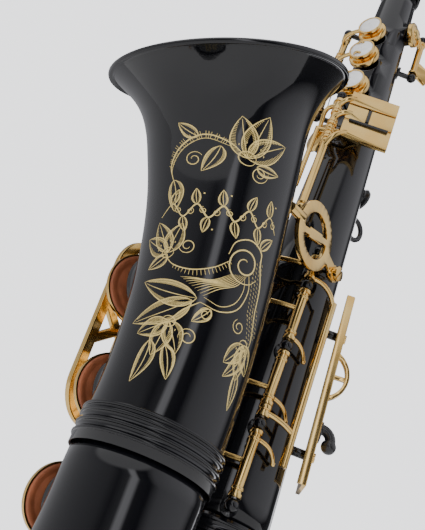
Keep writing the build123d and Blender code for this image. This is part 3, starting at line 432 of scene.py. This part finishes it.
def make_pad(node):
    """A leather pad pressed by its tone hole, and the domed resonator in its middle."""
    body = NODES[node]["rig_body"]
    centre, out, radius, half = disc_of(node)
    across, over, along = basis(out)
    base = centre - out * half
    r, thick = radius * 1000, half * 2000

    def turned(profile, steps):
        verts, faces = lathe(profile, (0, 0, 0), (0, 0, 1), steps)
        return [base + (across * v[0] + over * v[1] + along * v[2]) / 1000 for v in verts], faces

    dish = [(0, 0.25), (r * 0.32, 0.2), (r * 0.52, 0.0), (r * 0.70, -0.02), (r * 0.755, 0.34),
            (r * 0.80, 0.38), (r * 0.85, 0.0), (r * 0.93, 0.08), (r * 0.985, 0.5), (r, 1.2), (r, thick - 0.1),
            (r * 0.9, thick), (0, thick)]
    verts, faces = turned(dish, 72)
    pad = mesh_object(node + "_leather", verts, faces, "pad_leather", body, in_mm=False, node=node, sharp=70)
    dome = [(0, -0.15), (r * 0.1, -0.12), (r * 0.13, 0.05), (r * 0.36, 0.02), (r * 0.42, 0.12),
            (r * 0.43, 0.4), (0, 0.4)]
    verts, faces = turned(dome, 40)
    mesh_object(node + "_resonator", verts, faces, "gilt_brass", body, in_mm=False, sharp=50)


for node in sorted(NODES):
    if node.endswith("_pad"):
        make_pad(node)


# ---------------------------------------------------------------- the guard over the two bell cups
GUARD_X, GUARD_R, BAND = -59.5, 22.2, 6.4        # the frame's plane, its round ends and its width
GUARD_HALF, GUARD_ROUNDING = 0.9, 0.7            # half the flat thickness, and the rounding of its edges
GUARD_ENDS = Vector((-60.0, 156.0)), Vector((-66.5, 221.5))
GUARD_BAR_R = 1.5
# where each foot stands on the bell (y, z), where it meets the frame (y, z), and its radius
GUARD_FEET = ((-64.5, 246.5, -64.1, 243.0, 2.0), (-57.5, 131.0, -57.8, 135.5, 2.0),
              (-63.2, 188.7, -63.2, 188.7, 2.1))
FOOT_SECTIONS = ((0.0, 2.1), (0.05, 2.0), (0.12, 1.45), (0.22, 1.05), (0.5, 1.0), (0.85, 1.05), (1.0, 1.3))
GUARD_BOSS = [(0, -1.3), (5.6, -1.3), (6.4, -0.7), (6.4, 0.9), (5.8, 1.3), (2.2, 1.5), (1.8, 2.2), (0, 2.4)]


def guard_frame():
    """One flat frame round both cups, with two windows and a small opening between them at the waist."""
    (low, high), inner = GUARD_ENDS, GUARD_R - BAND
    half, middle = (high - low).length / 2, (low + high) / 2
    along = (high - low).normalized()
    across = Vector((along.y, -along.x))         # positive towards the body tube

    def arc(centre, radius, start, stop, steps):
        angles = [radians(start + (stop - start) * i / steps) for i in range(steps + 1)]
        return [(centre + radius * sin(a), radius * cos(a)) for a in angles]

    outer = arc(half, GUARD_R, 0, 180, 30) + arc(-half, GUARD_R, 180, 360, 30)
    window = [(4.0, inner)] + arc(half, inner, 0, 180, 26) + [(13.0, -inner), (3.4, -3.0)]
    mirrored = [(-p, q) for p, q in window]
    waist = [(-6.5, -inner), (6.5, -inner), (0.0, -7.5)]
    curve = bpy.data.curves.new("guard_outline", "CURVE")
    curve.dimensions = "2D"
    curve.fill_mode = "BOTH"
    curve.extrude = GUARD_HALF
    curve.bevel_depth = GUARD_ROUNDING
    curve.bevel_resolution = 3
    curve.offset = -GUARD_ROUNDING
    for loop in (outer, window, mirrored, waist):
        line = curve.splines.new("POLY")
        line.points.add(len(loop) - 1)
        line.use_cyclic_u = True
        for point, (p, q) in zip(line.points, loop):
            flat = middle + along * p + across * q
            point.co = (flat.x, flat.y, 0, 1)
    outline = bpy.data.objects.new("guard_outline", curve)
    bpy.context.scene.collection.objects.link(outline)
    mesh = bpy.data.meshes.new_from_object(outline)
    verts = [Vector((GUARD_X + v.co.z, v.co.x, v.co.y)) for v in mesh.vertices]
    faces = [tuple(p.vertices) for p in mesh.polygons]
    bpy.data.objects.remove(outline)
    return verts, faces


def guard_foot(y, z, out_y, out_z, radius):
    """A stalk with a spread foot, from the bell's side out to the frame."""
    sunk, into_frame = 0.6, 0.4                  # how far its two ends go into the bell and the frame
    lean = lean_at(z)
    centre_y = -LEG_GAP - BEND * (1 - cos(lean))
    bell_r = bell_radius(lean * BEND)
    start = Vector((-sqrt(bell_r * bell_r - (y - centre_y) ** 2) + sunk, y, z))
    end = Vector((GUARD_X + into_frame, out_y, out_z))
    points = [start.lerp(end, share) for share, _ in FOOT_SECTIONS]
    return tube(points, [radius * width for _, width in FOOT_SECTIONS], 20)


def guard_bar(end):
    """The bar across a cup's window, from its outer end towards the waist."""
    towards = (GUARD_ENDS[0] + GUARD_ENDS[1]) / 2 - end
    start = end - towards.normalized() * (GUARD_R - BAND + 2)
    stop = end + towards * 0.9
    return tube([(GUARD_X, start.x, start.y), (GUARD_X, stop.x, stop.y)], [GUARD_BAR_R] * 2, 14)


pieces = [guard_frame()] + [guard_foot(*foot) for foot in GUARD_FEET]
for end in GUARD_ENDS:
    pieces.append(guard_bar(end))
    pieces.append(lathe(GUARD_BOSS, (GUARD_X, end.x, end.y), -ACROSS, 40))
verts, faces = merge(pieces)
mesh_object("bell_guard_frame", verts, faces, "gilt_brass", node="bell_key_guard", sharp=30)


# ---------------------------------------------------------------- rollers of the little finger table
TABLE_NEAR, TABLE_FAR = Vector((10.0, -30.5, 0)), Vector((36.0, -12.0, 0))     # its two ends, from above


def table_point(share, z, lift):
    """A point in front of the table: a share of its length, a height, and a distance off its face."""
    out = Vector((TABLE_FAR.y - TABLE_NEAR.y, TABLE_NEAR.x - TABLE_FAR.x, 0)).normalized()
    flat = TABLE_NEAR.lerp(TABLE_FAR, share) + out * lift
    return Vector((flat.x, flat.y, z))


def roller(name, start, stop, radius, body):
    length = (stop - start).length
    half = [(0, 0), (radius * 0.7, 0), (radius * 0.96, radius * 0.2), (radius, radius * 0.5)]
    profile = half + [(r, length - height) for r, height in reversed(half)]
    verts, faces = lathe(profile, start, (stop - start).normalized(), 28)
    mesh_object(name, verts, faces, "black_plastic", body, sharp=40)


roller("upright_roller", table_point(0.46, 379.0, 0.9), table_point(0.46, 389.4, 0.9), 1.15, "b_lever")
roller("level_roller", table_point(0.10, 377.2, 1.0), table_point(0.92, 377.2, 1.0), 1.0, "b_flat_lever")


# ---------------------------------------------------------------- collars and needle springs
# each upright hinge line from above, and the heights of its posts
HINGE_LINES = {"lower": (21.5, -25.5), "upper": (-22.0, -17.5), "table": (3.0, -31.5)}
HINGE_POSTS = {"lower": (271.5, 248.8, 209.4, 164.2, 121.8), "upper": (398.0, 428.0, 487.0),
               "table": (398.4, 296.0)}
TUBE_R = 2.6
TUBE_SLACK, FEWEST_POINTS, SHORTEST_TUBE = 0.12, 20, 7
COLLAR_INSET = 2.6
COLLAR = [(TUBE_R - 0.1, -0.95), (TUBE_R + 0.35, -0.85), (TUBE_R + 0.62, -0.45), (TUBE_R + 0.62, 0.45),
          (TUBE_R + 0.35, 0.85), (TUBE_R - 0.1, 0.95)]
NEEDLE_OFF, NEEDLE_ASIDE, NEEDLE_DROP = 4.3, 0.6, 1.5  # in from the hinge line, aside, and below the post
NEEDLE_SECTIONS = ((0, 0.0, 0.42), (9, 0.0, 0.40), (19, 0.4, 0.3))     # down, inwards, radius


def tube_span(node, line):
    """How far up and down a key's hinge tube reaches on a hinge line, in body millimetres, or None."""
    points = np.array([v.co for v in NODES[node].data.vertices]) * 1000 + np.array(ORIGIN)
    from_line = np.hypot(points[:, 0] - line[0], points[:, 1] - line[1])
    heights = points[np.abs(from_line - TUBE_R) < TUBE_SLACK][:, 2]
    return (heights.min(), heights.max()) if len(heights) > FEWEST_POINTS else None


def add_collars(node):
    """A collar near each end of the hinge tubes that a key has on the upright lines."""
    rings = []
    for line in HINGE_LINES.values():
        span = tube_span(node, line)
        if span and span[1] - span[0] > SHORTEST_TUBE:
            for z in (span[0] + COLLAR_INSET, span[1] - COLLAR_INSET):
                rings.append(lathe(COLLAR, (*line, z), (0, 0, 1), 28))
    if rings:
        verts, faces = merge(rings)
        mesh_object(node + "_collars", verts, faces, "gilt_brass", NODES[node]["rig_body"], sharp=50)


def needle(line, post_z):
    """A blued needle hanging from a post, behind the hinge line."""
    outward = Vector((*line, 0)).normalized()
    side = Vector((-outward.y, outward.x, 0))
    start = Vector((*line, post_z - NEEDLE_DROP)) - outward * NEEDLE_OFF + side * NEEDLE_ASIDE
    points = [start + Vector((0, 0, -down)) - outward * inwards for down, inwards, _ in NEEDLE_SECTIONS]
    return tube(points, [radius for _, _, radius in NEEDLE_SECTIONS], 8)


for node in sorted(NODES):
    if slots[node] == "gilt_brass" and node.endswith(("_key", "_lever")):
        add_collars(node)

verts, faces = merge([needle(line, z) for name, line in HINGE_LINES.items() for z in HINGE_POSTS[name][:-1]])
mesh_object("needle_springs", verts, faces, "steel", sharp=60)


# ---------------------------------------------------------------- engraving on the bell
# the design lies in a plane: millimetres across, and millimetres up the bell from LEAN_Z
STROKES = []                                     # (points in that plane, width, taper)
THETA0 = 40.0                                    # the design's middle, in degrees from the bell's front
MEAN_R = 35.5                                    # the radius that turns millimetres across into an angle
LINE, VEIN, HATCH = 0.6, 0.42, 0.3               # stroke widths
RIBBON = ((1, 0.012), (0.45, 0.055), (-0.45, 0.055), (-1, 0.012))      # a stroke's section: share, lift
PITCH = 2.0                                      # of the scales


def stroke(points, width, taper=0.6, per=7):
    flat = [(a, b, 0) for a, b in points]
    STROKES.append((smooth_path(flat, per) if len(flat) > 2 else [Vector(p) for p in flat], width, taper))


def turn(a, b, angle, origin, mirror=1):
    """A point of a motif, turned, mirrored and moved to its place in the design."""
    c, s = cos(radians(angle)), sin(radians(angle))
    a *= mirror
    return origin[0] + a * c - b * s, origin[1] + a * s + b * c


def leaf(origin, angle, length, width, bend, hatch, mirror=1, double=True):
    """A pointed leaf with a vein, an inner line and hatching inwards from both edges."""
    def place(sign, t, share=1.0):
        swell = sin(pi * t ** 0.8) ** 0.85
        a = bend * length * t * t + sign * width * 0.5 * swell * share
        return turn(a, length * t, angle, origin, mirror)

    steps = [i / 8 for i in range(9)]
    for sign in (1, -1):
        stroke([place(sign, t) for t in steps], LINE)
    stroke([place(0, t * 0.94) for t in steps], VEIN)
    if double:
        stroke([place(1, 0.08 + t * 0.84, 0.78) for t in steps], HATCH)
    for sign in (1, -1):
        for i in range(hatch * 3):
            t = 0.05 + 0.88 * i / (hatch * 3)
            stroke([place(sign, t), place(sign, t - 0.035, 0.60)], HATCH, 0.2)


def scroll(origin, angle, radius, turns, width, mirror=1, closing=0.72):
    """A spiral that closes by a share of its radius."""
    points = []
    for i in range(26):
        t = i / 25
        a = t * turns * 2 * pi
        r = radius * (1 - closing * t)
        points.append(turn(r * cos(a), r * sin(a), angle, origin, mirror))
    stroke(points, width, per=3)


def petals(origin, angle, size, spread, hatch):
    """An open flower: three hatched petals round a calyx, with a dotted throat."""
    for k in (-1, 0, 1):
        leaf(origin, angle + spread * k, size * (1.0 if k else 1.12), size * 0.60, 0.10 * k, hatch,
             1 if k >= 0 else -1)
    around = np.linspace(0, 2 * pi, 11)
    stroke([turn(size * 0.2 * cos(t), size * 0.16 * sin(t), angle, origin) for t in around], 0.5)
    for t in np.linspace(0.6, pi - 0.6, 5):
        a, b = turn(size * 0.36 * cos(t), size * 0.36 * sin(t), angle, origin)
        stroke([(a, b), (a + 0.1, b + 0.9)], 0.5, 0.2)


def scales(origin, angle, rows, cols, narrowing):
    """Rows of short dashes, like fish scale; one dash fewer after every third row if the tail narrows."""
    for i in range(rows):
        for j in range(cols - (i // 3 if narrowing else 0)):
            a, b = (j + (i % 2) * 0.5) * PITCH, i * PITCH * 0.92
            tip = turn(a + PITCH * 0.55, b + PITCH * 0.3, angle, origin)
            stroke([turn(a, b, angle, origin), tip], 0.26, 0.2)


def comb(points, length, count, side):
    """Teeth standing off a curve, on its left if side is 1 and on its right if it is -1."""
    path = smooth_path([(a, b, 0) for a, b in points], 12)
    for i in range(count):
        k = int((len(path) - 1) * (i + 0.5) / count)
        along = (path[k + 1] - path[k]).normalized()
        reach = side * length * (0.55 + 0.45 * sin(pi * (i + 0.5) / count))
        stroke([path[k].xy, (path[k].x - along.y * reach, path[k].y + along.x * reach)], HATCH, 0.3)


# the upper spray: a lily at the right, its stem arching to a hanging leaf at the left
petals((8.0, 134.0), -18, 21.0, 36, 8)
arch = [(8.0, 134.0), (-1.0, 141.0), (-12.0, 144.0), (-22.0, 138.0), (-27.0, 128.0), (-25.0, 119.0)]
under_arch = [(a + 0.6, b - 2.0) for a, b in arch[1:]]
stroke(arch, 0.75)
stroke(under_arch, 0.4)
comb(under_arch[:4], 4.2, 26, -1)
leaf((-25.0, 120.0), 200, 17.0, 8.5, 0.22, 9)
leaf((-14.0, 143.0), 62, 12.0, 6.0, -0.2, 7, -1)
leaf((-4.0, 138.5), 168, 15.0, 8.0, 0.3, 8)
scroll((-15.5, 131.0), 30, 4.2, 1.4, 0.5)
scroll((15.0, 127.5), 200, 4.6, 1.5, 0.5, -1)
leaf((13.0, 131.0), 250, 12.0, 5.5, -0.25, 7)

# the middle band: a running vine, with a leaf, a tendril and a dot at each bend
vine = [(-30 + i * 6.2, 103.0 + (3.4 if i % 2 else -3.4) + 0.28 * i) for i in range(11)]
stroke(vine, 0.85)
for i, (a, b) in enumerate(vine[1:-1]):
    up = 1 if i % 2 == 0 else -1
    leaf((a, b), (8 if up > 0 else 172) + (12 if i % 3 else -14), 8.2, 4.2, 0.2 * up, 5, double=False)
    scroll((a + 3.3, b - up * 3.0), 90 * up, 1.9, 1.3, 0.42, up)
    stroke([(a + 2.6, b + up * 5.6), (a + 2.7, b + up * 6.3)], 0.9, 0.1)

# the lower cluster: a great scroll with a scaled tail, flowers and sweeping leaves
scroll((17.0, 82.0), 150, 10.0, 1.75, 0.8, -1, 0.80)
stroke([(7.6, 84.6), (10.0, 91.6), (17.5, 94.6), (25.0, 91.0), (26.5, 84.5), (30.0, 74.0), (31.0, 62.0),
        (34.0, 50.0), (33.0, 44.0)], 0.8)
stroke([(20.6, 78.0), (22.5, 70.0), (19.0, 60.0), (10.0, 55.5), (0.0, 57.0)], LINE)
stroke([(18.5, 76.5), (19.5, 69.5), (16.5, 62.0), (9.5, 58.0), (1.0, 60.0)], VEIN)
scales((21.8, 86.0), -82, 4, 14, False)
scales((25.0, 62.0), -70, 5, 8, True)
garland = [(9.5, 82.0), (2.0, 76.0), (-8.0, 72.5), (-18.0, 74.0), (-24.0, 80.0)]
stroke(garland, LINE)
comb(garland[:4], 3.2, 18, 1)
petals((-22.0, 80.0), 28, 17.0, 40, 7)
scroll((-12.5, 84.5), 160, 4.4, 1.5, 0.5)
leaf((-22.0, 79.0), 140, 13.0, 6.5, 0.2, 7)
leaf((-2.0, 58.5), 96, 30.0, 13.0, 0.28, 17)
leaf((-4.0, 57.0), 132, 32.0, 13.0, -0.22, 17, -1)
petals((-12.0, 44.0), 170, 17.0, 44, 8)
stroke([(0.0, 57.0), (-7.0, 51.0), (-12.0, 44.0)], 0.7)
leaf((-18.0, 33.0), 190, 22.0, 8.5, 0.3, 11)
leaf((-10.0, 32.0), 214, 17.0, 7.0, -0.25, 9, -1)
scroll((-1.0, 38.5), 20, 4.6, 1.5, 0.5, -1)
petals((29.0, 46.0), 186, 15.0, 38, 7)
leaf((33.0, 45.0), 158, 20.0, 7.5, -0.2, 10, -1)
leaf((30.0, 33.0), 200, 17.0, 6.0, 0.22, 8)
scroll((22.5, 52.5), 120, 3.8, 1.4, 0.5)
for k in range(9):                               # the hatching that fans out under the great scroll
    stroke([(19.5 - 1.0 * k, 77.0 - 0.2 * k), (15.0 - 1.5 * k, 70.5 - 0.1 * k),
            (7.0 - 1.7 * k, 66.0 + 0.3 * k), (0.5 - 1.6 * k, 60.5 + 0.9 * k)], VEIN, 0.75)
scroll((4.0, 52.0), 10, 3.6, 1.5, 0.45, -1)
leaf((6.0, 55.0), 150, 11.0, 6.0, 0.2, 7)
leaf((24.0, 92.0), 330, 10.0, 5.0, 0.25, 6)


def ribbon_mesh():
    """Every stroke as a thin raised ribbon on the bell, narrower towards its ends."""
    verts, faces = [], []
    for points, width, taper in STROKES:
        last, base = len(points) - 1, len(verts)
        for i, point in enumerate(points):
            along = points[min(i + 1, last)] - points[max(i - 1, 0)]
            along = along.normalized() if along.length > 0 else ACROSS
            side = Vector((-along.y, along.x, 0))
            half = width * 0.5 * (1 - taper * abs(2 * i / last - 1) ** 2.2)
            for share, lift in RIBBON:
                flat = point + side * half * share
                verts.append(on_bell(THETA0 + degrees(flat.x / MEAN_R), flat.y, lift))
        for i in range(last):
            for k in range(len(RIBBON) - 1):
                corner = base + i * len(RIBBON) + k
                following = corner + len(RIBBON)
                faces.append((corner, following, following + 1, corner + 1))
    return verts, faces


verts, faces = ribbon_mesh()
mesh_object("engraved_scrollwork", verts, faces, "gilt_brass", mat=ENGRAVED, sharp=0)


# ---------------------------------------------------------------- light, floor and camera
# the photograph's camera, in the row frame
EYE = at(212.6, -315.4, 50.3)
FORWARD = Vector((-0.590, 0.651, 0.478))
RIGHT = Vector((0.807, 0.478, 0.346))
UP = Vector((0.003, -0.590, 0.807))
TARGET = at(0, -60, 230)
SENSOR, LENS = 36.0, 48.08377                    # millimetres; the sensor's is the picture's longer side
# lamp: name, place as seen from the camera (right, up, back) in metres, width, height, watts, colour
LAMPS = (("key_light", (0.75, 0.55, 0.75), 0.6, 0.6, 11.0, (1, 1, 1)),
         ("fill_light", (-0.85, 0.25, 0.45), 0.5, 0.8, 4.0, (1.0, 0.98, 0.95)))
# the sky: grey bands across it, from its left (0) to its right (1)
SKY_LEFT, SKY_RIGHT = (0.29, 0.29, 0.30, 1), (0.38, 0.38, 0.40, 1)
SKY = ((0.22, 0.20), (0.40, 0.14), (0.50, 0.05), (0.60, 0.13), (0.64, 0.85), (0.69, 0.80), (0.725, 0.05),
       (0.83, 0.02), (0.90, 0.27))
SKY_BLUER, SKY_STRENGTH = 1.05, 2.3
OVERHEAD, OVERHEAD_FROM, OVERHEAD_FULL = (0.42, 0.42, 0.43, 1), 0.76, 0.86
MIX_FACTOR, MIX_A, MIX_B, MIX_RESULT = 0, 6, 7, 2      # the Mix node's sockets, whose names aren't unique
FLOOR_DROP, FLOOR_SIZE, FLOOR_CELLS = 1.7, 11.0, 24    # low enough to hide none of the horn
FLOOR_COLOUR, FLOOR_GLOW = (0.80, 0.80, 0.80), 0.4
SURROUND_R, SURROUND_COLOUR = 8.0, (2.15, 2.16, 2.22)


def add_lamp(name, place, size, size_y, power, colour):
    """An area lamp aimed at the horn. It isn't seen in the lacquer, where the sky alone draws the shapes."""
    right, up, back = place
    spot = TARGET + RIGHT * right + UP * up - FORWARD * back
    data = bpy.data.lights.new(name, "AREA")
    data.shape = "RECTANGLE"
    data.size, data.size_y, data.energy, data.color = size, size_y, power, colour
    lamp = bpy.data.objects.new(name, data)
    bpy.context.scene.collection.objects.link(lamp)
    lamp.location = spot
    lamp.rotation_mode = "QUATERNION"
    lamp.rotation_quaternion = (TARGET - spot).to_track_quat("-Z", "Y")
    lamp.visible_glossy = False


def add_sky():
    """Grey bands from left to right, under a plain overhead patch."""
    world = bpy.data.worlds.new("studio")
    bpy.context.scene.world = world
    world.use_nodes = True
    nodes, links = world.node_tree.nodes, world.node_tree.links
    coords = nodes.new("ShaderNodeTexCoord")

    def share_of(direction):
        dot = nodes.new("ShaderNodeVectorMath")
        dot.operation = "DOT_PRODUCT"
        dot.inputs[1].default_value = tuple(direction.normalized())
        links.new(coords.outputs["Generated"], dot.inputs[0])
        fit = nodes.new("ShaderNodeMapRange")
        links.new(dot.outputs["Value"], fit.inputs["Value"])
        return fit

    sideways = share_of(RIGHT * 0.97 + UP * 0.24)
    sideways.inputs["From Min"].default_value = -1.0
    ramp = nodes.new("ShaderNodeValToRGB")
    elements = ramp.color_ramp.elements
    elements[0].position, elements[0].color = 0.0, SKY_LEFT
    elements[1].position, elements[1].color = 1.0, SKY_RIGHT
    for position, grey in SKY:
        band = elements.new(position)
        band.color = (grey, grey, min(1.0, grey * SKY_BLUER), 1)
    links.new(sideways.outputs["Result"], ramp.inputs["Fac"])
    upwards = share_of(UP)
    upwards.interpolation_type = "SMOOTHSTEP"
    upwards.inputs["From Min"].default_value = OVERHEAD_FROM
    upwards.inputs["From Max"].default_value = OVERHEAD_FULL
    mix = nodes.new("ShaderNodeMix")
    mix.data_type = "RGBA"
    mix.inputs[MIX_B].default_value = OVERHEAD
    links.new(upwards.outputs["Result"], mix.inputs[MIX_FACTOR])
    links.new(ramp.outputs["Color"], mix.inputs[MIX_A])
    links.new(mix.outputs[MIX_RESULT], nodes["Background"].inputs["Color"])
    nodes["Background"].inputs["Strength"].default_value = SKY_STRENGTH


def stage_object(name, verts, faces, mat, colour, glow, smooth):
    """A glowing mesh of the stage, in metres."""
    data = bpy.data.meshes.new(name)
    data.from_pydata([tuple(v) for v in verts], [], faces)
    data.polygons.foreach_set("use_smooth", [smooth] * len(data.polygons))
    shader = mat.node_tree.nodes["Principled BSDF"]
    shader.inputs["Emission Color"].default_value = (*colour, 1)
    shader.inputs["Emission Strength"].default_value = glow
    data.materials.append(mat)
    obj = bpy.data.objects.new(name, data)
    bpy.context.scene.collection.objects.link(obj)
    return obj


def add_floor():
    row = FLOOR_CELLS + 1
    places = [FLOOR_SIZE * (i / FLOOR_CELLS - 0.5) for i in range(row)]
    verts = [(x, y, -FLOOR_DROP) for x in places for y in places]
    corners = [i * row + j for i in range(FLOOR_CELLS) for j in range(FLOOR_CELLS)]
    faces = [(a, a + row, a + row + 1, a + 1) for a in corners]
    mat = material("pale_floor", FLOOR_COLOUR, 0.95, vary=0.03, vary_scale=1.5, specular=0.05)
    stage_object("floor", verts, faces, mat, FLOOR_COLOUR, FLOOR_GLOW, smooth=False)


def add_surround():
    """A plain pale shell all round, the same from every side. It is only seen: it throws no light."""
    angles = [pi * k / 32 for k in range(33)]
    profile = [(SURROUND_R * sin(angle), -SURROUND_R * cos(angle)) for angle in angles]
    verts, faces = lathe(profile, (0, 0, 0), (0, 0, 1), 64)
    mat = material("pale_surround", (0, 0, 0), 1.0, specular=0.0)
    surround = stage_object("surround", verts, faces, mat, SURROUND_COLOUR, 1.0, smooth=True)
    surround.visible_glossy = False
    surround.visible_diffuse = False
    surround.visible_shadow = False
    surround.visible_transmission = False


def add_camera():
    camera = bpy.data.objects.new("camera", bpy.data.cameras.new("camera"))
    bpy.context.scene.collection.objects.link(camera)
    camera.data.sensor_width = SENSOR
    camera.data.lens = LENS
    camera.data.clip_start, camera.data.clip_end = 0.01, 20.0
    camera.data.dof.use_dof = False
    camera.matrix_world = Matrix.Translation(EYE) @ Matrix((RIGHT, UP, -FORWARD)).transposed().to_4x4()
    bpy.context.scene.camera = camera


for lamp in LAMPS:
    add_lamp(*lamp)
add_sky()
add_floor()
add_surround()
add_camera()
